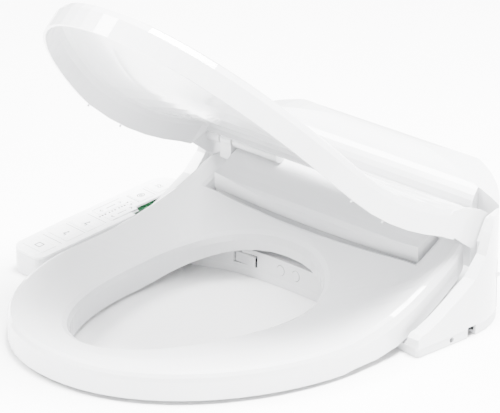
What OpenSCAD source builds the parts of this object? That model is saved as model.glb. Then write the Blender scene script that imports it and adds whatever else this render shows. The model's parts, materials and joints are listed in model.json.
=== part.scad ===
// Electric bidet seat with a side control panel, a raised-rear ring seat and a shell lid.
// Millimetres, +Z up. The origin is the midpoint of the two bowl bolts, on the bowl's rim.
// -Y is the front of the seat, -X carries the control panel.

/* [Ring seat] */
// half of the ring seat's greatest width
seat_half_w = 195; // [160:1:230]
// front tip of the ring seat, in front of the bolts
seat_front = 428; // [360:1:520]
// where the ring seat is widest, in front of the bolts
seat_widest = 201; // [170:1:240]
// height of the flat front of the ring above the bowl
seat_flat_z = 33; // [26:0.5:42]
// how much the ring climbs towards its hinge
seat_rise = 60; // [45:1:75]
// wall of the ring's top shell
seat_wall = 3; // [2:0.1:4]
// half of the opening's width
opening_half_w = 104; // [90:1:120]
// from the front tip to the opening
front_margin = 46; // [35:1:70]
// rear edge of the opening, in front of the bolts
opening_rear = 100; // [95:1:115]
// gap under the front skirt of the ring
skirt_gap = 4; // [2:0.5:8]

/* [Lid] */
// half of the lid's width
lid_half_w = 190.6; // [156:0.2:226]
// how far the lid's tip passes the ring's tip
lid_overhang = 6; // [0:0.5:14]
// height of the lid's side skirt
lid_skirt = 31; // [22:1:40]
// wall of the lid
lid_wall = 3; // [2:0.1:4]
// gap between the closed lid and the ring
lid_gap = 3; // [2:0.5:5]
// how far the lid stands open at rest
lid_open = 45.5; // [0:0.5:100]

/* [Hinge] */
// hinge axis in front of the bolts
hinge_y = 30; // [26:0.5:36]
// hinge axis above the bowl
hinge_z = 108; // [104:0.5:112]
// half of the hinge block's width
block_half_w = 148; // [120:1:160]
// radius of a hinge pin
pin_r = 4; // [3:0.1:5]
// radial clearance of a pin in its bush
pin_clear = 0.05; // [0.02:0.01:0.1]
// radius of a hinge knuckle
knuckle_r = 8; // [7:0.1:9]
// free gap between neighbouring pieces on different bodies
gap = 0.6; // [0.4:0.1:1.5]

/* [Housing] */
// half of the housing's width
house_half_w = 213; // [180:1:240]
// rear centre of the housing behind the bolts
house_back = 65; // [50:1:90]
// crown height of the housing
house_top = 146; // [140:1:156]
// wall of the housing
house_wall = 3; // [2:0.1:4]
// front of the cheeks, in front of the bolts
cheek_front = 130; // [110:1:140]
// height of the bottom tray
tray_h = 9; // [6:0.5:14]

/* [Control panel] */
// outer face of the control panel arm from the centre
panel_out = 247; // [230:1:262]
// inner face of the control panel arm from the centre
panel_in = 200; // [198:0.5:206]
// front of the control panel arm, in front of the bolts
panel_front = 268; // [220:1:300]
// rear end of the control panel arm, in front of the bolts
panel_rear = 44; // [40:1:60]
// height of the panel's front edge
panel_low = 26; // [20:1:34]
// height of the panel's rear edge
panel_high = 46; // [38:1:56]
// travel of a key
key_travel = 0.8; // [0.4:0.1:1.5]

/* [Mounting] */
// spacing of the two bowl bolts
bolt_spacing = 140; // [130:1:160]
// diameter of a bolt hole
bolt_d = 8.5; // [8:0.1:11]
// length of each slotted bolt hole, end to end
slot_len = 26; // [18:1:30]
// thickness of the mounting plate
plate_t = 7; // [5:0.5:8]
// radial size of the water inlet's thread
inlet_r = 10.4; // [9:0.1:13]
// radius of the cable inlet
cable_r = 4; // [3:0.1:6]

/* [Washing] */
// radius of a nozzle tube
nozzle_r = 5; // [4:0.1:7]
// length of a nozzle tube
nozzle_len = 118; // [100:1:140]
// how far the nozzles slope down towards the front
nozzle_tilt = 20; // [15:1:24]
// radial clearance of a nozzle in its guide
nozzle_clear = 0.4; // [0.3:0.05:0.6]

/* [Hidden] */
$fn = 64;
hy = -hinge_y;
hz = hinge_z;
yc = -seat_widest;
seat_F = seat_front - seat_widest;
open_F = seat_front - front_margin - seat_widest + 10;
open_yc = yc + 10;
open_R = -opening_rear - open_yc;
ramp_y = -(seat_widest + 34);
ramp_l = -28 - ramp_y;
lid_F = seat_F + lid_overhang;
block_front = -71;
knee = block_half_w + gap + 1.4;
wing_half = lid_half_w - lid_wall - 2;
cheek_in = seat_half_w + 2.6;
ax_k1 = knee;
ax_k2 = ax_k1 + 16;
ax_l1 = ax_k2 + 2;
ax_l2 = lid_half_w - lid_wall - 1;

// ---- shared curves ----
function sgnpow(v, p) = sign(v) * pow(abs(v), p);
// top of the ring seat above the bowl, at a given y
function ring_z(y) = seat_flat_z + (y > ramp_y ? seat_rise * pow((y - ramp_y) / ramp_l, 2.2) : 0);
// lower edge of the ring's outer skirt
function skirt_z(y) = y < yc - 9 ? skirt_gap
  : skirt_gap + 2 + (y > -175 ? 54 * pow((y + 175) / 145, 1.8) : 0);
// lower edge of the skirt inside the opening
function inner_skirt_z(y) = y < yc - 9 ? skirt_gap
  : skirt_gap + 1 + 33 * pow(max(0, y + 200) / 100, 1.3);
// top of the side ledge that sits under the ring's skirt
function ledge_z(y) = max(4, skirt_z(y) - 4);
// top edge of a cheek
function cheek_z(y) = lookup(y, [[-cheek_front, 20], [-118, 24], [-99, 32], [-70, 47],
  [-48, 60], [-30, 80], [-21, 101], [-12, 116], [9, 122]]);

function front_arc(w, f, c, n, m, step) =
  [for (a = [0:step:180]) [w * sgnpow(cos(a), 2 / n), c - f * pow(max(0, sin(a)), 2 / m)]];

function flip(pts) = [for (i = [len(pts) - 1:-1:0]) [-pts[i][0], pts[i][1]]];

// rear half of the ring's outline from the widest point to the centre, on the -X side
function ring_rear(g) = [
  [-seat_half_w + 0.5 + g, -170], [-seat_half_w + 2 + g, -140], [-seat_half_w + 4.5 + g, -112],
  [-wing_half - 2.5 + g, -88], [-wing_half + 2 + g, -74 - g], [-wing_half + 12, -69.8 - g],
  [-knee - 6, -69 - g], [-knee + 6, -69.3 - g], [-knee + 23, -70.4 - g], [-104, -72 - g],
  [-78, -73.5 - g], [-52, -74.5 - g], [-26, -75 - g], [0, -75.2 - g]];
ring_b = [5, 10, 15, 20, 26, 31, 36, 41, 47, 54, 62, 71, 80, 90];
function open_rear(g) = [for (b = ring_b) [-(opening_half_w + g) * pow(cos(b), 0.9),
  open_yc + (open_R + g) * pow(sin(b), 1.05)]];
// drops the end points so that the mirrored half closes the loop once
function close_loop(front, rear) = concat(front, rear,
  flip([for (i = [0:len(rear) - 2]) rear[i]]));
function ring_outer(g) =
  close_loop(front_arc(seat_half_w - g, seat_F - g, yc, 2.1, 1.87, 5), ring_rear(g));
function ring_inner(g) =
  close_loop(front_arc(opening_half_w + g, open_F + g, open_yc, 2.04, 1.81, 5), open_rear(g));

// closes a stack of equal rings into a tube that returns to its first ring
module loop_loft(rings) {
  n = len(rings);
  m = len(rings[0]);
  pts = [for (r = rings) each r];
  fcs = [for (i = [0:n - 1], j = [0:m - 1])
    let (a = i * m + j, b = i * m + (j + 1) % m,
      c = ((i + 1) % n) * m + (j + 1) % m, d = ((i + 1) % n) * m + j)
    each [[a, b, c], [a, c, d]]];
  polyhedron(points = pts, faces = fcs, convexity = 10);
}

// closes a stack of rings with a point at each end
module point_loft(rings, p0, p1) {
  n = len(rings);
  m = len(rings[0]);
  pts = concat([for (r = rings) each r], [p0, p1]);
  wall = [for (i = [0:n - 2], j = [0:m - 1])
    let (a = i * m + j, b = i * m + (j + 1) % m,
      c = (i + 1) * m + (j + 1) % m, d = (i + 1) * m + j)
    each [[a, b, c], [a, c, d]]];
  e0 = [for (j = [0:m - 1]) [n * m, (j + 1) % m, j]];
  e1 = [for (j = [0:m - 1]) [n * m + 1, (n - 1) * m + j, (n - 1) * m + (j + 1) % m]];
  polyhedron(points = pts, faces = concat(wall, e0, e1), convexity = 10);
}

function lerp(a, b, t) = a + (b - a) * t;
// point at distance d from the outer curve towards the inner one
function toward(a, b, d) = a + (b - a) * (d / max(1, norm(b - a)));
function xyz(p, z) = [p[0], p[1], z];

// a rounded bar between two points, along any direction
module rod(a, b, r) {
  v = b - a;
  l = norm(v);
  translate(a) rotate([0, acos(v[2] / l), atan2(v[1], v[0])]) cylinder(h = l, r = r);
}

// a hinge-axis cylinder from x1 to x2
module axle(x1, x2, r) {
  translate([x1, hy, hz]) rotate([0, 90, 0]) cylinder(h = x2 - x1, r = r);
}

// both sides of the centre plane
module both() {
  children();
  mirror([1, 0, 0]) children();
}

module slab(x1, x2, y1, y2, z1, z2) {
  translate([x1, y1, z1]) cube([x2 - x1, y2 - y1, z2 - z1]);
}

// a prism along X from points given as [y, z]
module prism_x(x1, x2, pts) {
  translate([x1, 0, 0]) rotate([90, 0, 90]) linear_extrude(height = x2 - x1) polygon(pts);
}

// ---- ring seat ----
module seat_shell() {
  color([0.97, 0.97, 0.98]) {
    difference() {
      union() {
        ring_shell();
        both() wing_shell();
      }
      seat_arm_clear();
    }
    seat_arms();
  }
}

module ring_shell() {
  o = ring_outer(0);
  q = ring_inner(0);
  m = len(o);
  w = seat_wall;
  front_n = 37;
  // the notch round the hinge block has a shorter skirt
  lift = [for (j = [0:m - 1]) (j > front_n + 3 && j < m - 4) ? 1 : 0];
  zo = [for (j = [0:m - 1]) lift[j] == 1 ? ring_z(o[j][1]) - 17 : skirt_z(o[j][1])];
  zi = [for (j = [0:m - 1]) min(ring_z(q[j][1]) - 12, inner_skirt_z(q[j][1]))];
  rings = [
    [for (j = [0:m - 1]) xyz(o[j], zo[j])],
    [for (j = [0:m - 1]) xyz(o[j], ring_z(o[j][1]) - 10)],
    [for (j = [0:m - 1]) let (p = toward(o[j], q[j], 1)) xyz(p, ring_z(p[1]) - 6)],
    [for (j = [0:m - 1]) let (p = toward(o[j], q[j], 3.5)) xyz(p, ring_z(p[1]) - 2.5)],
    [for (j = [0:m - 1]) let (p = toward(o[j], q[j], 8)) xyz(p, ring_z(p[1]) - 0.3)],
    [for (j = [0:m - 1]) let (p = lerp(o[j], q[j], 0.5)) xyz(p, ring_z(p[1]))],
    [for (j = [0:m - 1]) let (p = toward(q[j], o[j], 8)) xyz(p, ring_z(p[1]) - 0.8)],
    [for (j = [0:m - 1]) let (p = toward(q[j], o[j], 3)) xyz(p, ring_z(p[1]) - 3)],
    [for (j = [0:m - 1]) xyz(q[j], ring_z(q[j][1]) - 8)],
    [for (j = [0:m - 1]) xyz(q[j], zi[j])],
    [for (j = [0:m - 1]) xyz(toward(q[j], o[j], w), zi[j])],
    [for (j = [0:m - 1]) let (p = toward(q[j], o[j], w)) xyz(p, ring_z(p[1]) - 9)],
    [for (j = [0:m - 1]) let (p = toward(q[j], o[j], w + 5)) xyz(p, ring_z(p[1]) - w - 1.5)],
    [for (j = [0:m - 1]) let (p = toward(o[j], q[j], w + 5)) xyz(p, ring_z(p[1]) - w - 0.8)],
    [for (j = [0:m - 1]) let (p = toward(o[j], q[j], w)) xyz(p, ring_z(p[1]) - 10)],
    [for (j = [0:m - 1]) xyz(toward(o[j], q[j], w), zo[j])]
  ];
  loop_loft(rings);
}

// rear wings of the ring, either side of the hinge block
wing_c = [-(wing_half + knee) / 2 - 0.6, -64];
wing_pts = [[-knee - 8, -102], [-knee - 24, -102], [-wing_half + 3, -101],
  [-wing_half - 2.75, -96], [-wing_half - 2.35, -86], [-wing_half - 1.6, -74],
  [-wing_half - 0.5, -60], [-wing_half + 0.5, -44], [-wing_half + 4, -32],
  [-wing_half + 11, -27], [-ax_k2 - 4, -25.4], [-knee - 6, -25.2], [-knee - 1.5, -27.5],
  [-knee, -33], [-knee, -48], [-knee, -62], [-knee, -78], [-knee - 0.5, -96]];
function wing_in(p, d) = wing_c
  + [(p[0] - wing_c[0]) * (1 - d / 19.3), (p[1] - wing_c[1]) * (1 - d / 38.4)];
function wing_low(p) = p[0] < -wing_half + 8 && p[1] > -98 && p[1] < -31 ? skirt_z(p[1])
  : ring_z(p[1]) - (p[1] < -66 ? 10.2 : 17);

module wing_shell() {
  n = len(wing_pts) - 1;
  ins = [0, 1, 3.5, 8, 12, 16];
  drop = [10, 6, 2.5, 0.3, 0, 0];
  bins = [17, 13.5, 8, seat_wall];
  bdrop = [seat_wall, seat_wall, seat_wall + 0.8, 10];
  low = [for (j = [0:n]) xyz(wing_pts[j], wing_low(wing_pts[j]))];
  top = [for (i = [0:5]) [for (j = [0:n])
    let (p = wing_in(wing_pts[j], ins[i])) xyz(p, ring_z(p[1]) - drop[i])]];
  under = [for (i = [0:3]) [for (j = [0:n])
    let (p = wing_in(wing_pts[j], bins[i])) xyz(p, ring_z(p[1]) - bdrop[i])]];
  foot = [for (j = [0:n]) xyz(wing_in(wing_pts[j], seat_wall), wing_low(wing_pts[j]))];
  zc = ring_z(wing_c[1]);
  dome_solid(concat([low], top), concat(under, [foot]),
    [wing_c[0], wing_c[1], zc], [wing_c[0], wing_c[1], zc - seat_wall]);
}

// room round the hinge axis for the housing's pins and the lid's knuckles
module seat_arm_clear() {
  both() axle(ax_k2 + gap, seat_half_w + 2, knuckle_r + 4);
}

// arms that carry the ring on the hinge pins
module seat_arms() {
  both() difference() {
    union() {
      axle(ax_k1, ax_k2, knuckle_r);
      slab(ax_k1, ax_k2, hy - 7, hy + 5, ring_z(hy) - 6, hz);
    }
    axle(ax_k1 - 1, ax_k2 + 1, pin_r + 2);
  }
}

module seat_bushes() {
  color([0.86, 0.86, 0.84]) both() difference() {
    axle(ax_k1, ax_k2, pin_r + 2);
    axle(ax_k1 - 1, ax_k2 + 1, pin_r + pin_clear);
  }
}

// plate that closes the ring from below
module seat_base() {
  color([0.93, 0.93, 0.94]) plate_ring(seat_wall + 2.4, 3, 1);
}

module seat_heater() {
  color([0.75, 0.62, 0.35]) foil_ring(12, 1);
}

// extra room beside the wings
function wing_gap(p) = p[1] > -115 ? 2.2 : 0;

// a band inside the shell, an inset from its walls, z given above the skirt
module plate_ring(inset, t, up) {
  o = ring_outer(0);
  q = ring_inner(0);
  m = len(o);
  front_n = 37;
  lift = [for (j = [0:m - 1]) (j > front_n + 3 && j < m - 4) ? 1 : 0];
  zo = [for (j = [0:m - 1]) lift[j] == 1 ? ring_z(o[j][1]) - 17 - 3 * wing_gap(o[j]) : skirt_z(o[j][1])];
  zi = [for (j = [0:m - 1]) min(ring_z(q[j][1]) - 12 - 3 * wing_gap(o[j]), inner_skirt_z(q[j][1]))];
  loop_loft([
    [for (j = [0:m - 1]) xyz(toward(o[j], q[j], inset + wing_gap(o[j])), zo[j] + up)],
    [for (j = [0:m - 1]) xyz(toward(o[j], q[j], inset + wing_gap(o[j])), zo[j] + up + t)],
    [for (j = [0:m - 1]) xyz(toward(q[j], o[j], inset), zi[j] + up + t)],
    [for (j = [0:m - 1]) xyz(toward(q[j], o[j], inset), zi[j] + up)]
  ]);
}

// a thin foil under the ring's top
module foil_ring(inset, t) {
  o = ring_outer(0);
  q = ring_inner(0);
  m = len(o);
  function fz(p) = ring_z(p[1]) - seat_wall - 2.6;
  po = [for (j = [0:m - 1]) toward(o[j], q[j],
    min(o[j][1] > -115 ? 48 : inset, norm(q[j] - o[j]) * 0.42))];
  pq = [for (j = [0:m - 1]) toward(q[j], o[j], min(inset, norm(q[j] - o[j]) * 0.42))];
  loop_loft([
    [for (j = [0:m - 1]) xyz(po[j], fz(po[j]) - t)],
    [for (j = [0:m - 1]) xyz(po[j], fz(po[j]))],
    [for (j = [0:m - 1]) xyz(pq[j], fz(pq[j]))],
    [for (j = [0:m - 1]) xyz(pq[j], fz(pq[j]) - t)]
  ]);
}

bump_y = [yc - 132, yc - 20];
function bump_x(i) = i == 0 ? opening_half_w * 0.98 : (seat_half_w + opening_half_w) / 2;
module seat_bumpers() {
  color([0.8, 0.8, 0.8]) both() for (i = [0, 1]) {
    translate([bump_x(i), bump_y[i], 0]) cylinder(h = skirt_gap + 1, r1 = 8, r2 = 10);
  }
}

// ---- lid, drawn closed and then opened about the hinge ----
module open_lid() {
  translate([0, hy, hz]) rotate([-lid_open, 0, 0]) translate([0, -hy, -hz]) children();
}

function rim_z(y) = ring_z(y) + lid_gap;
function lid_rear(g) = [for (y = [-170, -140, -112, -86, -62]) [-lid_half_w + g, y]];
function lid_back(g) = [[-lid_half_w + g, -44 - g], [-lid_half_w + 6, -38 - g],
  for (x = [-170, -140, -110, -80, -50, -25, 0]) [x, -38 - g]];
function lid_outline(g) = close_loop(front_arc(lid_half_w - g, lid_F - g, yc, 2.15, 1.6, 5),
  concat(lid_rear(g), lid_back(g)));
lid_c = [0, -215];
function lid_low(p) = p[1] > -50 ? rim_z(-50) + 22 * (p[1] + 50) / 12 * (abs(p[0]) < lid_half_w - 3.5 ? 1 : 0)
  : rim_z(p[1]);
function lid_high(y) = ring_z(y) + lid_gap + lid_skirt + 4 * pow(max(0, y + 240) / 200, 2);

module lid_shell() {
  color([0.98, 0.98, 0.98]) open_lid() {
    lid_dome();
    both() lid_ear();
  }
}

module lid_dome() {
  o = lid_outline(0);
  q = lid_outline(lid_wall);
  m = len(o);
  ks = [1, 0.985, 0.95, 0.88, 0.7, 0.45, 0.2];
  ds = [10, 3.5, 0.8, -1.5, -5, -7.5, -9];
  outer = [for (i = [0:6]) [for (j = [0:m - 1])
    let (p = lerp(lid_c, o[j], ks[i])) xyz(p, lid_high(p[1]) - ds[i])]];
  inner = [for (i = [6:-1:0]) [for (j = [0:m - 1])
    let (p = lerp(lid_c, q[j], ks[i])) xyz(p, lid_high(p[1]) - ds[i] - lid_wall)]];
  rings = concat([[for (j = [0:m - 1]) xyz(o[j], lid_low(o[j]))]], outer);
  back = concat(inner, [[for (j = [0:m - 1]) xyz(q[j], lid_low(o[j]))]]);
  tz = lid_high(lid_c[1]) + 9.5;
  dome_solid(rings, back, [0, lid_c[1], tz], [0, lid_c[1], tz - lid_wall]);
}

// outer rings end in a point, the inner ones start in a point, both share the rim
module dome_solid(rings, back, p0, p1) {
  n = len(rings);
  k = len(back);
  m = len(rings[0]);
  pts = concat([for (r = rings) each r], [for (r = back) each r], [p0, p1]);
  function quad(a, b, c, d) = [[a, b, c], [a, c, d]];
  w1 = [for (i = [0:n - 2], j = [0:m - 1])
    each quad(i * m + j, i * m + (j + 1) % m, (i + 1) * m + (j + 1) % m, (i + 1) * m + j)];
  w2 = [for (i = [0:k - 2], j = [0:m - 1]) let (s = n * m)
    each quad(s + i * m + j, s + i * m + (j + 1) % m,
      s + (i + 1) * m + (j + 1) % m, s + (i + 1) * m + j)];
  top = [for (j = [0:m - 1]) [(n - 1) * m + j, (n - 1) * m + (j + 1) % m, (n + k) * m]];
  under = [for (j = [0:m - 1]) [n * m + (j + 1) % m, n * m + j, (n + k) * m + 1]];
  rim = [for (j = [0:m - 1]) let (s = (n + k - 1) * m)
    each quad(s + j, s + (j + 1) % m, (j + 1) % m, j)];
  polyhedron(points = pts, faces = concat(w1, w2, top, under, rim), convexity = 10);
}

// side wall that reaches back past the hinge axis
module lid_ear() {
  prism_x(lid_half_w - lid_wall, lid_half_w, [[-66, rim_z(-66) + 3], [-52, rim_z(-52) + 2],
    [-34, rim_z(-52) + 5], [-14, 90], [-6, 95.5], [-1, 103], [1, 110], [0.5, 117],
    [-3, 124], [-10, 128.5], [-18, 129.5], [-28, 127.5], [-40, 122.5], [-54, 115],
    [-66, 104]]);
}

module lid_knuckles() {
  color([0.9, 0.9, 0.91]) open_lid() both() {
    difference() {
      union() {
        axle(ax_l1, lid_half_w - lid_wall, knuckle_r);
        slab(ax_l1, lid_half_w - lid_wall, hy - 7.6, hy, hz - 2, hz + 5);
      }
      axle(ax_l1 - 1, ax_l2, pin_r + 2);
    }
  }
}

module lid_bushes() {
  color([0.86, 0.86, 0.84]) open_lid() both() difference() {
    axle(ax_l1, ax_l2, pin_r + 2);
    axle(ax_l1 - 1, ax_l2 - 1, pin_r + pin_clear);
  }
}

// pads on the rim that keep the lid off the ring
stud_y = [-150, -205];
module lid_bumpers() {
  color([0.9, 0.9, 0.9]) open_lid() both() for (y = stud_y) {
    translate([lid_half_w - 1.5, y, rim_z(y) - lid_gap + 0.6]) cylinder(h = lid_gap - 0.8, r = 1.1);
  }
}

// ---- housing ----
function d_arc(g) = [for (a = [0:4:180])
  [(house_half_w - g) * sgnpow(cos(a), 0.8), -60 + (house_back + 60 - g) * pow(sin(a), 0.8)]];
function house_plan(g) = concat([[house_half_w - g, -70]], d_arc(g), [[-house_half_w + g, -70]]);
function dome_side(g) = concat([[-4 + g, -5], [-4 + g, hz - 4]],
  [for (t = [0:9:90]) [-4 + g + 38 * (1 - cos(t)), hz + (house_top - 0.5 - hz - g) * sin(t)]],
  [for (t = [9:9:90]) [34 + (house_back - 34) * sin(t), house_top - 30 - g + 29.5 * cos(t)]],
  [[house_back + 9, house_top - 40 - g], [house_back + 9, -5]]);
function dome_front(g) = concat([[-house_half_w - 1, -5]],
  [for (a = [-90:7.5:90]) let (u = abs(sin(a)) * (house_half_w + 0.5))
    [sin(a) * (house_half_w + 0.5), 100 - g + (house_top - 100) * pow(1 - pow(u / (house_half_w + 3), 3.4), 0.65)]],
  [[house_half_w + 1, -5]]);

module dome_block(g) {
  intersection() {
    linear_extrude(height = 170) polygon(house_plan(g));
    prism_x(-house_half_w, house_half_w, dome_side(g));
    translate([0, 120, 0]) rotate([90, 0, 0]) linear_extrude(height = 240)
      polygon(dome_front(g));
    union() {
      slab(-ax_k2 + g, ax_k2 - g, -4 + g, 90, -1, 170);
      slab(-house_half_w, house_half_w, 6 + g, 90, -1, 170);
    }
  }
}

cheek_ys = [-118, -110, -99, -85, -70, -58, -48, -38, -30, -21, -12, -5, 2, 8];
module cheek(g) {
  intersection() {
    linear_extrude(height = 170)
      polygon(concat([[house_half_w - g, -cheek_front + g]], d_arc(g),
        [[-house_half_w + g, -cheek_front + g]]));
    prism_x(cheek_in + g, house_half_w + 1, concat([[-cheek_front + g, -1]],
      [[-cheek_front + g, 19 - g], [-cheek_front + 4 + g, 22.5 - g]],
      [for (y = cheek_ys) [y + g * 0.5, cheek_z(y) - g]], [[9, cheek_z(8) - g], [9, -1]]));
  }
}

// the sheet under the ring's side skirt
ledge_ys = [-126, -110, -95, -80, -65, -55, -48];
module ledge() {
  top = [for (y = ledge_ys) [y, ledge_z(y)]];
  low = [for (i = [len(top) - 1:-1:0]) [top[i][0] + 2, max(tray_h, top[i][1] - house_wall)]];
  prism_x(shelf_x, cheek_in + 1, concat(top, [[6, ledge_z(-48) + 4], [6, ledge_z(-48) + 1]], low));
}

// the sheets behind the opening and under the hinge block
shelf_x = 119;
module apron() {
  prism_x(-shelf_x, shelf_x, [[-98, 24], [-98, 27.5], [-80, 37], [-66, 46], [-66, 43],
    [-79, 34], [-95, 24]]);
  both() prism_x(shelf_x - 3, shelf_x, [[-98, tray_h], [-98, 27.5], [-80, 37], [-66, 46],
    [-40, 46], [-40, tray_h]]);
  difference() {
    tub(1.2, 43, 63);
    tub(4.2, 42, 60);
  }
  for (k = [[150, 16], [100, 20], [84, 25], [64, 30.5]]) intersection() {
    difference() {
      translate([0, 0, tray_h]) linear_extrude(height = k[1] - tray_h) polygon(step_plan(0.4));
      translate([0, 0, -1]) linear_extrude(height = k[1] - 2) polygon(step_plan(3.4));
    }
    slab(-k[0], k[0], -140, 0, 0, 60);
  }
}

module tub(g, z1, z2) {
  intersection() {
    block_plan(g);
    slab(-block_half_w, block_half_w, -90, 0, z1, z2);
  }
}

// low step in front of the apron, bowed like the bowl's rear edge
function front_bow(x) = -100 - 24 * pow(min(1, abs(x) / 118), 3);
function step_plan(g) = concat([for (x = [-150:15:150]) [x * (150 - g) / 150, front_bow(x) + g]],
  [[150 - g, -95], [-150 + g, -95]]);

module housing_cover() {
  color([0.98, 0.98, 0.98]) difference() {
    union() {
      difference() {
        dome_block(0);
        dome_block(house_wall);
        translate([0, 0, -1]) linear_extrude(height = tray_h + 1.3) square([500, 300], center = true);
      }
      both() difference() {
        cheek(0);
        cheek(house_wall);
        slab(cheek_in - 1, house_half_w + 2, -cheek_front - 1, 20, -2, tray_h + 0.3);
        slab(cheek_in - 1, house_half_w + 2, 6, 20, -2, 200);
      }
      both() intersection() {
        linear_extrude(height = 170) polygon(house_plan(0));
        prism_x(lid_half_w + 1.6, cheek_in + 3, concat([[-24, 62]],
          [for (y = [-24, -18, -12, -5, 2, 8]) [y, cheek_z(y) - 4]], [[8, 62]]));
      }
      both() difference() {
        ledge();
        slab(0, 300, 6, 60, -1, 200);
      }
      apron();
    }
    // ports for the nozzles, the dryer, the drawer and the inlets
    nozzle_ports();
    slab(-149, 149, -5, 9.4, tray_h + 0.3, 58);
    slab(-18, 18, -5, 9.4, 50, 66);
    both() slab(149, 190, -5, 9.4, tray_h + 0.3, 41);
    slab(-75.5, -44.5, -118, -90, 12.5, 25.4);
    slab(-house_half_w - 1, -160, drawer_y - 0.5, drawer_y + drawer_w + 0.5, 13.5, 36.5);
    translate([-150, 20, 30]) rotate([-90, 0, 0]) cylinder(h = 40, r = inlet_r + 2.5);
    translate([150, 20, 24]) rotate([-90, 0, 0]) cylinder(h = 40, r = cable_r + 3.2);
    slab(-91, -69, 40, 80, 13.5, 26.5);
    slab(house_half_w - 4, house_half_w + 1, -57.4, -44.7, -1, 11);
    translate([cheek_in - 3, -80.7, 4.7]) rotate([0, 90, 0]) cylinder(h = 30, r = 3.6);
  }
}

module base_tray() {
  color([0.95, 0.95, 0.95]) difference() {
    union() {
      linear_extrude(height = tray_h) polygon(tray_plan(0.4));
    }
    translate([0, 0, 3]) linear_extrude(height = tray_h) polygon(tray_plan(3.4));
    bracket_room();
    slab(house_half_w - 16, house_half_w + 1, -57.4, -44.7, -1, 20);
    translate([cheek_in - 6, -80.7, 4.7]) rotate([0, 90, 0]) cylinder(h = 40, r = 3);
    for (p = screw_xy) translate([p[0], p[1], -1]) {
      cylinder(h = 6, r = 2.1);
      cylinder(h = 3.7, r = 3.9);
    }
    both() for (y = [-105, 15]) translate([150, y, -1]) cylinder(h = 9, r = 7.3);
  }
  color([0.95, 0.95, 0.95]) {
    bracket_rails();
    both() for (y = [-105, 15]) translate([150, y, 0]) pad_cup();
    for (p = screw_xy) translate([p[0], p[1], 0]) screw_cup();
  }
}

module pad_cup() {
  difference() {
    cylinder(h = 5.4, r = 9);
    translate([0, 0, -1]) cylinder(h = 4.2, r = 7.3);
  }
}

module screw_cup() {
  difference() {
    cylinder(h = 6, r = 5.6);
    translate([0, 0, -1]) cylinder(h = 9, r = 2.1);
    translate([0, 0, -1]) cylinder(h = 3.7, r = 3.9);
  }
}

function tray_plan(g) = concat([[house_half_w - g, -70], [house_half_w - g - 1, -cheek_front + 4 + g],
  [house_half_w - g - 4, -cheek_front + g], [cheek_in - 18 + g, -cheek_front + 3 + g]],
  [for (x = [150:-15:-150]) [x, front_bow(x) + g]],
  [[-cheek_in + 18 - g, -cheek_front + 3 + g], [-house_half_w + g + 4, -cheek_front + g],
    [-house_half_w + g + 1, -cheek_front + 4 + g], [-house_half_w + g, -70]],
  [for (a = [180:-4:0]) [(house_half_w - g) * sgnpow(cos(a), 0.8),
    -60 + (house_back + 60 - g) * pow(sin(a), 0.8)]]);

screw_xy = [[185, -95], [-185, -95], [120, 20], [-120, 20], [110, -86], [-110, -86]];
module casing_screws() {
  color([0.7, 0.7, 0.72]) for (p = screw_xy) translate([p[0], p[1], 0.6]) {
    difference() {
      cylinder(h = 2, r = 3.6);
      translate([0, 0, -1]) cylinder(h = 2.2, r = 1.6, $fn = 6);
    }
    cylinder(h = 12, r = 1.9);
  }
}

module rear_pads() {
  color([0.35, 0.35, 0.36]) both() for (y = [-105, 15]) {
    translate([150, y, 0]) cylinder(h = 3, r = 7);
  }
}

// ---- mounting plate: the tray slides forward off it ----
plate_hw = 96;
plate_y1 = -34;
plate_y2 = 34;
slide_travel = 40;
module mounting_plate() {
  color([0.55, 0.56, 0.58]) difference() {
    union() {
      slab(-plate_hw + 6, plate_hw - 6, plate_y1, plate_y2, 0, plate_t);
      slab(-plate_hw, plate_hw, plate_y1, plate_y2, 3.6, plate_t);
    }
    for (s = [-1, 1]) bolt_slot(s, 12.6, 4, plate_t + 2, slot_len + 8);
    for (s = [-1, 1]) bolt_slot(s, bolt_d / 2, -1, 20, slot_len);
    slab(-20, 20, plate_y1 + 8, plate_y2 - 8, -1, 20);
  }
}

module bolt_slot(s, r, z1, z2, l) {
  translate([s * bolt_spacing / 2, 0, z1]) {
    for (x = [-(l / 2 - r), l / 2 - r]) translate([x, 0, 0]) cylinder(h = z2 - z1, r = r);
    translate([-(l / 2 - r), -r, 0]) cube([l - 2 * r, 2 * r, z2 - z1]);
  }
}

module bolt_inserts() {
  color([0.75, 0.76, 0.78]) for (s = [-1, 1]) translate([s * bolt_spacing / 2, 0, 4]) {
    difference() {
      cylinder(h = plate_t - 3.6, r = 12);
      translate([0, 0, -1]) cylinder(h = 10, r = bolt_d / 2);
    }
  }
}

module bracket_room() {
  slab(-plate_hw - gap, plate_hw + gap, plate_y1 - gap, plate_y2 + slide_travel + 20,
    3.6 - gap, 30);
  slab(-plate_hw + 6 - gap, plate_hw - 6 + gap, plate_y1 - gap,
    plate_y2 + slide_travel + 20, -1, 30);
}

// roof over the bracket
module bracket_rails() {
  difference() {
    slab(-plate_hw - 4, plate_hw + 4, plate_y1 - 4, 50, 2, plate_t + gap + 1.3);
    slab(-plate_hw - gap, plate_hw + gap, plate_y1 - gap, 90, -1, plate_t + gap);
  }
}

// button that frees the tray from the plate
module release_button() {
  color([0.8, 0.8, 0.82]) {
    slab(-90.4, -69.6, 44, 59, 14.1, 25.9);
    slab(-93, -67, 44, 47, 12, 28);
  }
}

// ---- hinge block ----
module block_side(x1, x2, g) {
  prism_x(x1, x2, [[block_front + g, 64.2], [block_front + g, 71 - g * 0.5], [-69.5 + g, 76],
    [-65 + g * 0.7, 80.5 - g * 0.7], [-56, 84.5 - g], [-46, 90 - g], [-34, 97.5 - g],
    [-22, 103 - g], [-12, 106 - g], [-5 - g, 107 - g], [-5 - g, 64.2]]);
}

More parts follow.
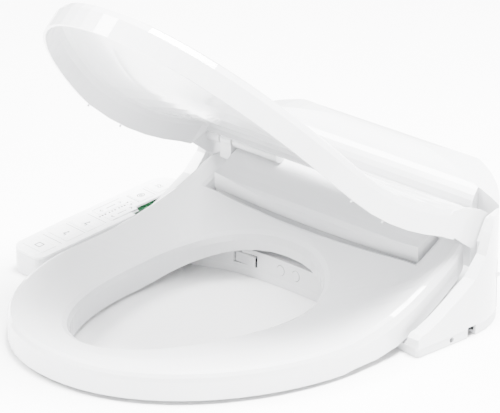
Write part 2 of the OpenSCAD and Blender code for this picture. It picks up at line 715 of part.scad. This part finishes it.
module block_plan(g) {
  linear_extrude(height = 200) polygon(concat(
    [for (x = [-block_half_w + g:(2 * (block_half_w - g)) / 12:block_half_w - g + 0.1])
      [x, block_front + g + 8 * pow(x / block_half_w, 2)]],
    [[block_half_w - g, 0], [-block_half_w + g, 0]]));
}

module hinge_block() {
  color([0.96, 0.96, 0.97]) difference() {
    union() {
      intersection() {
        block_side(-block_half_w, block_half_w, 0);
        block_plan(0);
      }
      both() axle(block_half_w - 66, block_half_w, 6.8);
    }
    intersection() {
      block_side(-block_half_w + 3, block_half_w - 3, 2.6);
      block_plan(3);
      union() {
        slab(-78, 78, -80, 0, 60, 200);
        both() slab(78, 145, -80, -40, 60, 92);
      }
    }
    both() axle(block_half_w - 60, block_half_w + 1, pin_r + 0.02);
    both() axle(block_half_w - 58, block_half_w - 16, 5.4);
  }
}

module hinge_dampers() {
  color([0.25, 0.25, 0.27]) both() difference() {
    axle(block_half_w - 57.7, block_half_w - 16.3, 5.2);
    axle(block_half_w - 60, block_half_w - 15, pin_r + 0.02);
  }
}

module hinge_pins() {
  color([0.78, 0.78, 0.8]) both() axle(block_half_w - 59, ax_l2 - 1.5, pin_r);
}

module seat_sensor() {
  color([0.2, 0.2, 0.22]) {
    slab(104, 122, -60, -50, 66, 78);
    translate([113, -60, 72]) rotate([90, 0, 0]) cylinder(h = 2, r = 3);
  }
}

// ---- washing ----
noz_o = [0, -92, 22];
module noz_frame() {
  translate(noz_o) rotate([nozzle_tilt, 0, 0]) children();
}

module nozzle_ports() {
  noz_frame() for (s = [-1, 1]) translate([s * 11, -30, 0]) rotate([-90, 0, 0])
    cylinder(h = 50, r = nozzle_r + 0.6);
}

module nozzle_guide() {
  color([0.9, 0.9, 0.92]) noz_frame() difference() {
    translate([-19, 21.5, -8]) cube([38, 49, 16]);
    for (s = [-1, 1]) translate([s * 11, -1, 0]) rotate([-90, 0, 0])
      cylinder(h = 90, r = nozzle_r + nozzle_clear);
  }
}

module nozzle(s) {
  difference() {
    noz_frame() translate([s * 11, -12, 0]) rotate([-90, 0, 0]) difference() {
      cylinder(h = nozzle_len, r = nozzle_r);
      translate([0, 0, 14]) cylinder(h = nozzle_len, r = nozzle_r - 1.6);
      translate([0, 0, 20]) rotate([90, 0, 0]) cylinder(h = 20, r = s > 0 ? 1 : 0.8);
    }
    // the tip closes its port when it is in
    slab(-30, 30, -140, front_bow(11), -50, 60);
  }
}

module nozzle_rear() {
  color([0.93, 0.94, 0.95]) nozzle(1);
}

module nozzle_front() {
  color([0.93, 0.94, 0.95]) nozzle(-1);
}

module nozzle_drives() {
  color([0.6, 0.62, 0.64]) noz_frame() for (s = [-1, 1]) {
    translate([s * 27 - 7, 30, -7]) cube([14, 22, 14]);
  }
}

module water_tank() {
  color([0.85, 0.87, 0.88]) {
    translate([82, -10, 28]) cylinder(h = 26, r = 36);
    translate([82, -10, 13]) cylinder(h = 15, r = 30);
    translate([82, -10, 54]) cylinder(h = 4, r = 8);
  }
}

module inlet_valve() {
  color([0.3, 0.32, 0.34]) {
    slab(-168, -132, -4, 18, 16, 35);
    translate([-150, 7, 35]) cylinder(h = 5.5, r = 9);
  }
}

module flow_pump() {
  color([0.25, 0.26, 0.28]) {
    translate([140, -30, 13]) cylinder(h = 22, r = 15);
    translate([140, -30, 35]) cylinder(h = 4, r = 10);
  }
}

module hoses() {
  color([0.8, 0.82, 0.84]) {
    rod([-130, 15, 34], [-116, 36, 34], 3);
    rod([-116, 36, 34], [30, 40, 34], 3);
    rod([30, 40, 34], [56, 16, 34], 3);
    translate([-116, 36, 29.6]) cylinder(h = 8.8, r = 4.2);
    translate([30, 40, 29.6]) cylinder(h = 8.8, r = 4.2);
  }
}

module water_inlet() {
  color([0.92, 0.92, 0.93]) difference() {
    union() {
      translate([-150, 19, 30]) rotate([-90, 0, 0]) cylinder(h = 22, r = inlet_r + 2);
      translate([-150, 19, 30]) rotate([-90, 0, 0]) cylinder(h = 42, r = inlet_r);
    }
    translate([-150, 26, 30]) rotate([-90, 0, 0]) cylinder(h = 40, r = inlet_r - 2.6);
  }
}

module inlet_filter() {
  color([0.2, 0.45, 0.75]) translate([-150, 44, 30]) rotate([-90, 0, 0]) difference() {
    cylinder(h = 10, r = inlet_r - 2.7);
    translate([0, 0, 2]) cylinder(h = 20, r = inlet_r - 4.4);
  }
}

module drain_plug() {
  color([0.3, 0.3, 0.32]) translate([cheek_in - 4, -80.7, 4.7]) rotate([0, 90, 0]) {
    difference() {
      cylinder(h = 16, r = 2.8);
      translate([0, 0, 14.6]) cylinder(h = 4, r = 1.4);
    }
  }
}

module cable_gland() {
  color([0.3, 0.3, 0.32]) translate([150, 34, 24]) rotate([-90, 0, 0]) difference() {
    union() {
      cylinder(h = 10, r = cable_r + 3);
      translate([0, 0, 3]) cylinder(h = 0.5, r = cable_r + 3);
    }
    translate([0, 0, -1]) cylinder(h = 20, r = cable_r);
  }
}

// ---- electrics, dryer and deodoriser ----
module main_board() {
  color([0.2, 0.45, 0.25]) {
    slab(-90, 90, 40, 41.6, 68, 124);
    slab(-80, -60, 30, 40, 74, 94);
    slab(-40, -20, 32, 40, 80, 100);
    slab(0, 34, 34, 40, 76, 90);
    slab(50, 74, 28, 40, 74, 104);
  }
}

module transformer() {
  color([0.5, 0.42, 0.3]) {
    slab(118, 154, 7, 33, 30, 62);
    slab(112, 160, 11, 29, 36, 56);
  }
}

dry_c = [-78, -8, 36];
module dryer_case() {
  color([0.4, 0.42, 0.45]) difference() {
    union() {
      translate([dry_c[0], dry_c[1], 14]) cylinder(h = 34, r = 32);
      slab(dry_c[0] + 4, dry_c[0] + 32, -94, dry_c[1], 14, 24.4);
    }
    translate([dry_c[0], dry_c[1], 16]) cylinder(h = 30, r = 30);
    slab(dry_c[0] + 6, dry_c[0] + 30, -95, dry_c[1], 16, 22.8);
    translate([dry_c[0], dry_c[1], 40]) cylinder(h = 20, r = 20);
  }
}

module dryer_wheel() {
  color([0.15, 0.15, 0.16]) translate([dry_c[0], dry_c[1], 18]) {
    difference() {
      cylinder(h = 2, r = 26);
      translate([0, 0, -1]) cylinder(h = 5, r = 2.5);
    }
    for (a = [0:24:359]) rotate([0, 0, a]) translate([20, -0.7, 1.9]) cube([5, 1.4, 18]);
    difference() {
      cylinder(h = 14, r = 6);
      translate([0, 0, -1]) cylinder(h = 20, r = 2.5);
    }
  }
}

module dryer_flap() {
  color([0.93, 0.93, 0.94]) difference() {
    union() {
      slab(dry_c[0] + 4, dry_c[0] + 32, -103.4, -101.9, 13.2, 23.6);
      translate([dry_c[0] + 4, -102.2, 23.6]) rotate([0, 90, 0]) cylinder(h = 28, r = 1.5);
    }
    translate([dry_c[0], -102.2, 23.6]) rotate([0, 90, 0]) cylinder(h = 60, r = 0.7);
  }
}

module deodor_fan() {
  color([0.2, 0.2, 0.22]) difference() {
    slab(-150, -120, -64, -34, 12, 31);
    translate([-135, -49, 10]) cylinder(h = 40, r = 13);
  }
}

drawer_y = -38;
drawer_w = 26;
module filter_drawer() {
  color([0.9, 0.9, 0.91]) difference() {
    intersection() {
      slab(-house_half_w + 0.3, -160, drawer_y, drawer_y + drawer_w, 14, 36);
      linear_extrude(height = 60) polygon(house_plan(0.3));
    }
    slab(-house_half_w + 15, -162, drawer_y + 2, drawer_y + drawer_w - 2, 16, 40);
  }
}

// ---- control panel ----
pmx = -(panel_in + panel_out) / 2;
phw = (panel_out - panel_in) / 2;
p_len = panel_front - panel_rear;
p_pitch = atan((panel_high - panel_low) / p_len);
p_roll = 4;
module panel_frame() {
  translate([pmx, -panel_front, panel_low]) rotate([p_pitch, 0, 0]) rotate([0, p_roll, 0])
    children();
}

function panel_plan(g) = concat(
  [for (a = [180:15:270]) [pmx - phw + 24 + (14 - g) * cos(a) - 8, -panel_front + 14 + (14 - g) * sin(a)]],
  [for (a = [270:15:360]) [pmx + phw - 8 + (8 - g) * cos(a), -panel_front + 8 + (8 - g) * sin(a)]],
  [for (a = [0:10:180]) [pmx + (phw - g) * cos(a), -panel_rear - phw + (phw - g) * sin(a)]],
  [[pmx - phw + g, -150], [pmx - phw + g, -190], [pmx - phw + 0.8 + g, -215]]);

module panel_body() {
  color([0.97, 0.97, 0.97]) difference() {
    intersection() {
      linear_extrude(height = 80) polygon(panel_plan(0));
      panel_frame() translate([-60, -40, -100]) cube([120, 320, 97.8]);
    }
    intersection() {
      translate([0, 0, 2.5]) linear_extrude(height = 80) polygon(panel_plan(2.5));
      panel_frame() translate([-60, -40, -100]) cube([120, 320, 98.5]);
    }
    beside_cheek(0);
  }
}

// keeps the panel out of the side wall of the housing
module beside_cheek(g) {
  slab(-house_half_w - g, 0, -cheek_front - g, 100, -1, 100);
}

key_list = [[0, 14, 30, 20], [0, 50, 30, 22], [0, 80, 30, 22], [9, 122, 12, 38],
  [-9, 122, 12, 38], [-4.5, 163, 21, 18], [-5.5, 190, 21, 20]];

module key_shape(i, g) {
  k = key_list[i];
  translate([k[0] - k[2] / 2 - g, k[1] + 8 - k[3] / 2 - g, 0]) cube([k[2] + 2 * g, k[3] + 2 * g, 1]);
}

module panel_face() {
  color([0.98, 0.98, 0.98]) difference() {
    intersection() {
      linear_extrude(height = 80) polygon(panel_plan(0));
      panel_frame() translate([-60, -40, -2]) cube([120, 320, 2]);
    }
    panel_frame() for (i = [0:6]) translate([0, 0, -4]) scale([1, 1, 8]) key_shape(i, 0.4);
    panel_frame() for (p = light_xy) translate([p[0], p[1], -4]) cylinder(h = 6, r = 0.8);
    beside_cheek(0);
  }
}

light_xy = concat([for (k = [0:2], j = [0:2]) [0, 108 + k * 14 + j * 4]], [[-3, 151], [3, 151]]);
module panel_lights() {
  color([0.5, 0.7, 0.9]) panel_frame() {
    for (p = light_xy) translate([p[0], p[1], -5]) cylinder(h = 5.05, r = 0.7);
    translate([-1.5, 106, -5.6]) cube([3, 38, 1]);
    translate([-5, 149.6, -5.6]) cube([10, 3, 1]);
  }
}

module panel_board() {
  color([0.2, 0.45, 0.25]) difference() {
    panel_frame() {
      translate([-17, 14, -8.2]) cube([34, 190, 1.6]);
      for (y = [22, 58, 88, 171, 198]) translate([-8, y - 3, -6.6]) cube([6, 6, 1.6]);
      for (s = [-1, 1]) translate([s * 9 - 3, 129, -6.6]) cube([6, 6, 1.6]);
    }
    beside_cheek(1);
  }
}

module key(i) {
  color([0.97, 0.97, 0.97]) panel_frame() {
    translate([0, 0, -2.6]) scale([1, 1, 2.8]) key_shape(i, 0);
    translate([0, 0, -3.3]) scale([1, 1, 0.8]) key_shape(i, 0.9);
  }
}

module key_stop() {
  key(0);
}

module key_rear() {
  key(1);
}

module key_front() {
  key(2);
}

module key_less() {
  key(3);
}

module key_more() {
  key(4);
}

module key_mode() {
  key(5);
}

module key_dry() {
  key(6);
}

// ---- drawing ----
mounting_plate();
bolt_inserts();
base_tray();
housing_cover();
hinge_block();
casing_screws();
rear_pads();
panel_body();
panel_face();
panel_board();
panel_lights();
key_stop();
key_rear();
key_front();
key_less();
key_more();
key_mode();
key_dry();
nozzle_guide();
nozzle_rear();
nozzle_front();
nozzle_drives();
water_tank();
inlet_valve();
flow_pump();
hoses();
main_board();
transformer();
dryer_case();
dryer_wheel();
dryer_flap();
deodor_fan();
filter_drawer();
water_inlet();
inlet_filter();
drain_plug();
cable_gland();
seat_sensor();
release_button();
hinge_dampers();
hinge_pins();
seat_shell();
seat_base();
seat_heater();
seat_bumpers();
seat_bushes();
lid_shell();
lid_knuckles();
lid_bumpers();
lid_bushes();
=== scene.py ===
"""Looks of the electric bidet seat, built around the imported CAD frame. Metres, +Z up, -Y to the front."""
import json
import math

import bpy
import bmesh
from mathutils import Matrix, Vector


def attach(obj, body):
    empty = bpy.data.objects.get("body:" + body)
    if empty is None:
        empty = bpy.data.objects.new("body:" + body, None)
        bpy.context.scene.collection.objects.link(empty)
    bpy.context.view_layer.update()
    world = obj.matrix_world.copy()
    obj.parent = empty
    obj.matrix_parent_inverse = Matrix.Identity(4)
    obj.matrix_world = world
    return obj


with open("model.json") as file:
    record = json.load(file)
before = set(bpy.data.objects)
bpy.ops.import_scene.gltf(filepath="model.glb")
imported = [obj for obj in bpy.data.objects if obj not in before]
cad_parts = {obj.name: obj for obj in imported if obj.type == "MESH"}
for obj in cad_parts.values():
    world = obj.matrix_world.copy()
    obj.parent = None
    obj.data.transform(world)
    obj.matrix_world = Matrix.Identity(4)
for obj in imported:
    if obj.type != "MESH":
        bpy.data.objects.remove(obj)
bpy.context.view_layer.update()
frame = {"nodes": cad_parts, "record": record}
NODES = frame["nodes"]
SLOT = {s["node"]: s["material_slot"] for s in frame["record"]["subparts"]}

# ---------------------------------------------------------------- camera
CAM_PLACE = (2.2814, -2.3908, 1.3725)
CAM_AZ = math.radians(45.58)
CAM_EL = math.radians(21.58)
SENSOR_MM = 36
LENS_MM = 243.3168
cam_data = bpy.data.cameras.new("camera")
cam = bpy.data.objects.new("camera", cam_data)
bpy.context.scene.collection.objects.link(cam)
bpy.context.scene.camera = cam
look = Vector((-math.sin(CAM_AZ) * math.cos(CAM_EL), math.cos(CAM_AZ) * math.cos(CAM_EL), -math.sin(CAM_EL)))
cam.location = CAM_PLACE
cam.rotation_mode = "QUATERNION"
cam.rotation_quaternion = look.to_track_quat("-Z", "Y")
cam_data.sensor_width = SENSOR_MM
cam_data.lens = LENS_MM
cam_data.clip_start, cam_data.clip_end = 0.1, 50


# ---------------------------------------------------------------- materials
def new_mat(name):
    m = bpy.data.materials.new(name)
    m.use_nodes = True
    nt = m.node_tree
    return m, nt, nt.nodes["Principled BSDF"]


def noise(nt, scale, detail=3.0, rough=0.5, stretch=None):
    tc = nt.nodes.new("ShaderNodeTexCoord")
    n = nt.nodes.new("ShaderNodeTexNoise")
    n.inputs["Scale"].default_value = scale
    n.inputs["Detail"].default_value = detail
    n.inputs["Roughness"].default_value = rough
    if stretch:
        mp = nt.nodes.new("ShaderNodeMapping")
        mp.inputs["Scale"].default_value = stretch
        nt.links.new(tc.outputs["Object"], mp.inputs["Vector"])
        nt.links.new(mp.outputs["Vector"], n.inputs["Vector"])
    else:
        nt.links.new(tc.outputs["Object"], n.inputs["Vector"])
    return n


def ramp(nt, src, lo, hi, p0=0.35, p1=0.65):
    r = nt.nodes.new("ShaderNodeValToRGB")
    r.color_ramp.elements[0].position, r.color_ramp.elements[1].position = p0, p1
    r.color_ramp.elements[0].color = (*lo, 1)
    r.color_ramp.elements[1].color = (*hi, 1)
    nt.links.new(src, r.inputs["Fac"])
    return r.outputs["Color"]


def spread(nt, src, lo, hi):
    r = nt.nodes.new("ShaderNodeMapRange")
    r.inputs["From Min"].default_value, r.inputs["From Max"].default_value = 0.3, 0.7
    r.inputs["To Min"].default_value, r.inputs["To Max"].default_value = lo, hi
    nt.links.new(src, r.inputs["Value"])
    return r.outputs["Result"]


def bump(nt, bsdf, src, strength, distance):
    b = nt.nodes.new("ShaderNodeBump")
    b.inputs["Strength"].default_value = strength
    b.inputs["Distance"].default_value = distance
    nt.links.new(src, b.inputs["Height"])
    nt.links.new(b.outputs["Normal"], bsdf.inputs["Normal"])


def plastic(name, base, rough=(0.16, 0.24), grain=900.0, depth=0.00002, strength=0.12, coat=0.0,
            tint=0.012, wear=0.0):
    """moulded plastic: slow tone drift, varying polish, fine texture, a little scuffing at edges"""
    m, nt, b = new_mat(name)
    slow, fine, mid = noise(nt, 9.0, 2.0), noise(nt, grain, 2.0, 0.6), noise(nt, 70.0, 4.0)
    lo = tuple(max(0, c - tint) for c in base)
    col = ramp(nt, slow.outputs["Fac"], lo, base)
    if wear:
        geo = nt.nodes.new("ShaderNodeNewGeometry")
        edge = ramp(nt, geo.outputs["Pointiness"], (0, 0, 0), (1, 1, 1), 0.52, 0.6)
        mix = nt.nodes.new("ShaderNodeMix")
        mix.data_type = "RGBA"
        mul = nt.nodes.new("ShaderNodeMath")
        mul.operation = "MULTIPLY"
        mul.inputs[1].default_value = wear
        nt.links.new(edge, mul.inputs[0])
        nt.links.new(mul.outputs[0], mix.inputs["Factor"])
        nt.links.new(col, mix.inputs["A"])
        mix.inputs["B"].default_value = (*[min(1, c * 1.12 + 0.02) for c in base], 1)
        col = mix.outputs["Result"]
    nt.links.new(col, b.inputs["Base Color"])
    nt.links.new(spread(nt, mid.outputs["Fac"], *rough), b.inputs["Roughness"])
    bump(nt, b, fine.outputs["Fac"], strength, depth)
    b.inputs["IOR"].default_value = 1.5
    if coat:
        b.inputs["Coat Weight"].default_value = coat
        b.inputs["Coat Roughness"].default_value = 0.06
    return m


def metal(name, base, rough=(0.25, 0.4), stretch=(40, 900, 900), strength=0.25):
    """metal with drawn grain and smudged polish"""
    m, nt, b = new_mat(name)
    line, cloud = noise(nt, 1.0, 3.0, 0.6, stretch), noise(nt, 60.0, 4.0)
    nt.links.new(ramp(nt, line.outputs["Fac"], tuple(c * 0.82 for c in base), base), b.inputs["Base Color"])
    nt.links.new(spread(nt, cloud.outputs["Fac"], *rough), b.inputs["Roughness"])
    bump(nt, b, line.outputs["Fac"], strength, 0.00003)
    b.inputs["Metallic"].default_value = 1.0
    return m


def circuit_board(name):
    """green laminate with paler tracks"""
    m, nt, b = new_mat(name)
    tc = nt.nodes.new("ShaderNodeTexCoord")
    v = nt.nodes.new("ShaderNodeTexVoronoi")
    v.feature = "DISTANCE_TO_EDGE"
    v.inputs["Scale"].default_value = 160
    nt.links.new(tc.outputs["Object"], v.inputs["Vector"])
    track, laminate = (0.1, 0.36, 0.16), (0.02, 0.14, 0.06)
    nt.links.new(ramp(nt, v.outputs["Distance"], track, laminate, 0.05, 0.09), b.inputs["Base Color"])
    bump(nt, b, v.outputs["Distance"], 0.3, 0.00005)
    b.inputs["Roughness"].default_value = 0.4
    return m


def filter_mesh(name, colour):
    """woven screen: crossed waves of thread"""
    m, nt, b = new_mat(name)
    tc = nt.nodes.new("ShaderNodeTexCoord")
    w1, w2 = nt.nodes.new("ShaderNodeTexWave"), nt.nodes.new("ShaderNodeTexWave")
    w1.bands_direction, w2.bands_direction = "X", "Z"
    mx = nt.nodes.new("ShaderNodeMath")
    mx.operation = "MAXIMUM"
    for i, w in enumerate((w1, w2)):
        w.inputs["Scale"].default_value = 500
        nt.links.new(tc.outputs["Object"], w.inputs["Vector"])
        nt.links.new(w.outputs["Fac"], mx.inputs[i])
    nt.links.new(ramp(nt, mx.outputs[0], tuple(c * 0.4 for c in colour), colour), b.inputs["Base Color"])
    bump(nt, b, mx.outputs[0], 0.6, 0.0002)
    b.inputs["Roughness"].default_value = 0.6
    return m


WHITE = (0.64, 0.645, 0.655)
MATS = {
    "white_gloss": plastic("gloss_white", WHITE, (0.13, 0.2), 700, 0.00001, 0.06, 0.35),
    "white_satin": plastic("satin_white", (0.62, 0.625, 0.635), (0.36, 0.5), 1400, 0.00006, 0.35),
    "panel_film": plastic("panel_film", (0.86, 0.865, 0.875), (0.2, 0.3), 1200, 0.00002, 0.15, 0.25),
    "grey_rubber": plastic("grey_rubber", (0.6, 0.6, 0.61), (0.6, 0.75), 1500, 0.0001, 0.5, tint=0.05),
    "dark_rubber": plastic("dark_rubber", (0.035, 0.035, 0.037), (0.55, 0.75), 1500, 0.0001, 0.5, tint=0.012),
    "steel": metal("stainless", (0.62, 0.62, 0.63)),
    "zinc": metal("coated_plate", (0.5, 0.51, 0.53), (0.4, 0.6), (500, 500, 500), 0.4),
    "bush": plastic("acetal", (0.8, 0.79, 0.75), (0.35, 0.45), 900, 0.00004, 0.2, tint=0.03),
    "dark_plastic": plastic("dark_plastic", (0.03, 0.031, 0.034), (0.35, 0.55), 1300, 0.00008, 0.5,
                            tint=0.01, wear=0.4),
    "board": circuit_board("circuit_board"),
    "copper": metal("copper", (0.72, 0.38, 0.2), (0.25, 0.4), (30, 1500, 1500), 0.5),
    "filter_blue": filter_mesh("filter_blue", (0.12, 0.3, 0.62)),
    "light": plastic("light_guide", (0.5, 0.66, 0.86), (0.15, 0.25), 600, 0.00002, 0.1, 0.5),
    "hose": plastic("silicone_hose", (0.72, 0.74, 0.75), (0.4, 0.55), 800, 0.00006, 0.3),
}
PRINT = plastic("panel_print", (0.045, 0.047, 0.05), (0.4, 0.5), 1500, 0.00002, 0.2, tint=0.02)
LED = plastic("lamp_lens", (0.02, 0.021, 0.024), (0.15, 0.2), 500, 0.00001, 0.1, 0.5, tint=0.01)
for name, ob in NODES.items():
    ob.data.materials.clear()
    ob.data.materials.append(MATS[SLOT[name]])


# ---------------------------------------------------------------- mesh helpers
def mesh_object(name, verts, faces, mat, body, smooth=True):
    me = bpy.data.meshes.new(name)
    me.from_pydata([tuple(v) for v in verts], [], faces)
    me.update()
    bm = bmesh.new()
    bm.from_mesh(me)
    bmesh.ops.remove_doubles(bm, verts=bm.verts, dist=1e-7)
    bmesh.ops.recalc_face_normals(bm, faces=bm.faces)
    bm.to_mesh(me)
    bm.free()
    for p in me.polygons:
        p.use_smooth = smooth
    me.materials.append(mat)
    ob = bpy.data.objects.new(name, me)
    bpy.context.scene.collection.objects.link(ob)
    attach(ob, body)
    return ob


# ---------------------------------------------------------------- print on the control panel
# panel frame and print in millimetres: x across, y from its front end
PANEL_LONG = 268.0 - 44.0
PANEL_RISE = 20.0
PANEL_ROLL = 4.0
PANEL_START = (-223.5, -268.0, 26.0)
PANEL = (Matrix.Translation(PANEL_START)
         @ Matrix.Rotation(math.atan(PANEL_RISE / PANEL_LONG), 4, "X")
         @ Matrix.Rotation(math.radians(PANEL_ROLL), 4, "Y"))
MM = Matrix.Scale(0.001, 4)


def stroke(points, w, closed=False):
    """outline of a line w wide through points, as quads [(4 corners)]"""
    pts = [Vector(p) for p in points]
    if closed:
        pts.append(pts[0])
    out = []
    for a, b in zip(pts, pts[1:]):
        d = (b - a).normalized()
        n = Vector((-d.y, d.x)) * (w / 2)
        e = d * (w / 2 * 0.8)
        out.append([a - e - n, b + e - n, b + e + n, a - e + n])
    return out


def ring(cx, cy, rx, ry, w, n=22, a0=0.0, a1=360.0):
    ps = [(cx + rx * math.cos(math.radians(a0 + (a1 - a0) * i / n)),
           cy + ry * math.sin(math.radians(a0 + (a1 - a0) * i / n))) for i in range(n + 1)]
    return stroke(ps, w)


def disc(cx, cy, r, n=14):
    return [[Vector((cx + r * math.cos(2 * math.pi * i / n), cy + r * math.sin(2 * math.pi * i / n)))
             for i in range(n)]]


def decal(name, polys, z, body, mat=PRINT, thick=0.05):
    """raised print: each polygon becomes a thin plate on the panel at local height z"""
    verts, faces = [], []
    for poly in polys:
        s, n = len(verts), len(poly)
        verts += [PANEL @ Vector((p.x, p.y, z + h)) for h in (-0.02, thick) for p in poly]
        faces.append([s + n + i for i in range(n)])
        faces.append([s + n - 1 - i for i in range(n)])
        faces += [[s + i, s + (i + 1) % n, s + n + (i + 1) % n, s + n + i] for i in range(n)]
    return mesh_object(name, [MM @ v for v in verts], faces, mat, body, smooth=False)


def figure(cx, cy, s, stream):
    """generic seated figure above a jet of water"""
    out = disc(cx + 1.2 * s, cy + 4.6 * s, 1.5 * s)
    body = [(cx + 0.6 * s, cy + 2.6 * s), (cx - 0.6 * s, cy - 1.6 * s), (cx + 3.4 * s, cy - 1.6 * s)]
    out += stroke(body, 1.5 * s)
    out += stroke([(cx + 3.6 * s, cy - 1.6 * s), (cx + 3.6 * s, cy - 5.0 * s)], 1.1 * s)
    out += ring(cx - 1.0 * s, cy - 5.0 * s, 2.6 * s, 3.2 * s, 0.5 * s, 10, 20, 20 + stream)
    return out


W = 0.95  # width of an icon line
icons = {
    "btn_stop": stroke([(-3.6, 18.4), (3.6, 18.4), (3.6, 25.6), (-3.6, 25.6)], W + 0.15, True),
    "btn_rear": figure(0.0, 58.0, 0.85, 90),
    "btn_front": figure(0.0, 88.0, 0.85, 130),
    "btn_less": stroke([(7.2, 119), (9.0, 116.8), (10.8, 119)], W) + stroke([(9, 126), (9, 138)], W)
    + stroke([(7.2, 144), (9.0, 146.2), (10.8, 144)], W),
    "btn_more": stroke([(-10.8, 119), (-9.0, 116.8), (-7.2, 119)], W) + stroke([(-9, 126), (-9, 138)], W)
    + stroke([(-10.8, 144), (-9.0, 146.2), (-7.2, 144)], W),
    "btn_mode": ring(-4.5, 172, 3.2, 4.4, W, 26) + ring(-4.5, 172, 1.2, 1.8, W, 16),
    "btn_dry": stroke([(-8.9, 197.5), (-6.7, 199.4), (-4.3, 197.5), (-2.1, 199.4)], W)
    + stroke([(-8.9, 201), (-6.7, 202.9), (-4.3, 201), (-2.1, 202.9)], W),
}
for body, polys in icons.items():
    decal("print_" + body, polys, 0.2, body)
fixed = []
for y in (40.0, 73.0, 103.5):
    fixed += stroke([(-14.5, y), (14.5, y)], 0.6)
for y in (160.0, 184.0):
    fixed += stroke([(-14.5, y), (5.5, y)], 0.6)
for x in (-16.2, 16.2):
    fixed += stroke([(x, 112), (x, 150)], 0.55)
fixed += stroke([(-2.8, 147.6), (2.8, 147.6)], 0.3) + stroke([(-2.8, 154.4), (2.8, 154.4)], 0.3)
decal("print_panel", fixed, 0.0, "base")
leds = []
for k in range(3):
    for j in range(3):
        leds += disc(0, 108 + 14 * k + 4 * j, 1.15)
leds += disc(-3, 151, 1.1) + disc(3, 151, 1.1)
decal("panel_led_lenses", leds, 0.0, "base", LED, 0.12)

# ---------------------------------------------------------------- smooth faces and sharp edges
SHARP_DEG = 28
for name, ob in NODES.items():
    for p in ob.data.polygons:
        p.use_smooth = True
    ob.data.set_sharp_from_angle(angle=math.radians(SHARP_DEG))

# ---------------------------------------------------------------- stage and light
FLOOR_SIZE = 40
bpy.ops.mesh.primitive_plane_add(size=FLOOR_SIZE, location=(0, 0, -0.0005))
floor = bpy.context.object
floor.name = "floor"
fm, nt, b = new_mat("floor")
n = noise(nt, 3.0, 2.0)
nt.links.new(ramp(nt, n.outputs["Fac"], (0.93, 0.93, 0.935), (0.95, 0.95, 0.95)), b.inputs["Base Color"])
b.inputs["Roughness"].default_value = 0.9
b.inputs["Specular IOR Level"].default_value = 0.1
floor.data.materials.append(fm)

world = bpy.data.worlds.new("studio")
bpy.context.scene.world = world
world.use_nodes = True
wt = world.node_tree
bg = wt.nodes["Background"]
bg.inputs["Color"].default_value = (1, 1, 1, 1)
bg.inputs["Strength"].default_value = 0.8


def area(name, loc, target, size, power):
    d = bpy.data.lights.new(name, "AREA")
    d.shape = "RECTANGLE"
    d.size, d.size_y = size
    d.energy = power
    o = bpy.data.objects.new(name, d)
    bpy.context.scene.collection.objects.link(o)
    o.location = loc
    o.rotation_mode = "QUATERNION"
    o.rotation_quaternion = (Vector(target) - Vector(loc)).to_track_quat("-Z", "Y")
    return o


area("key", (-2.0, -1.7, 2.2), (0, -0.2, 0.1), (1.2, 1.2), 300)
area("fill", (1.6, -2.6, 1.2), (0, -0.2, 0.1), (1.6, 1.6), 45)
area("top", (0.5, 0.1, 2.7), (0, -0.2, 0), (1.5, 1.5), 980)
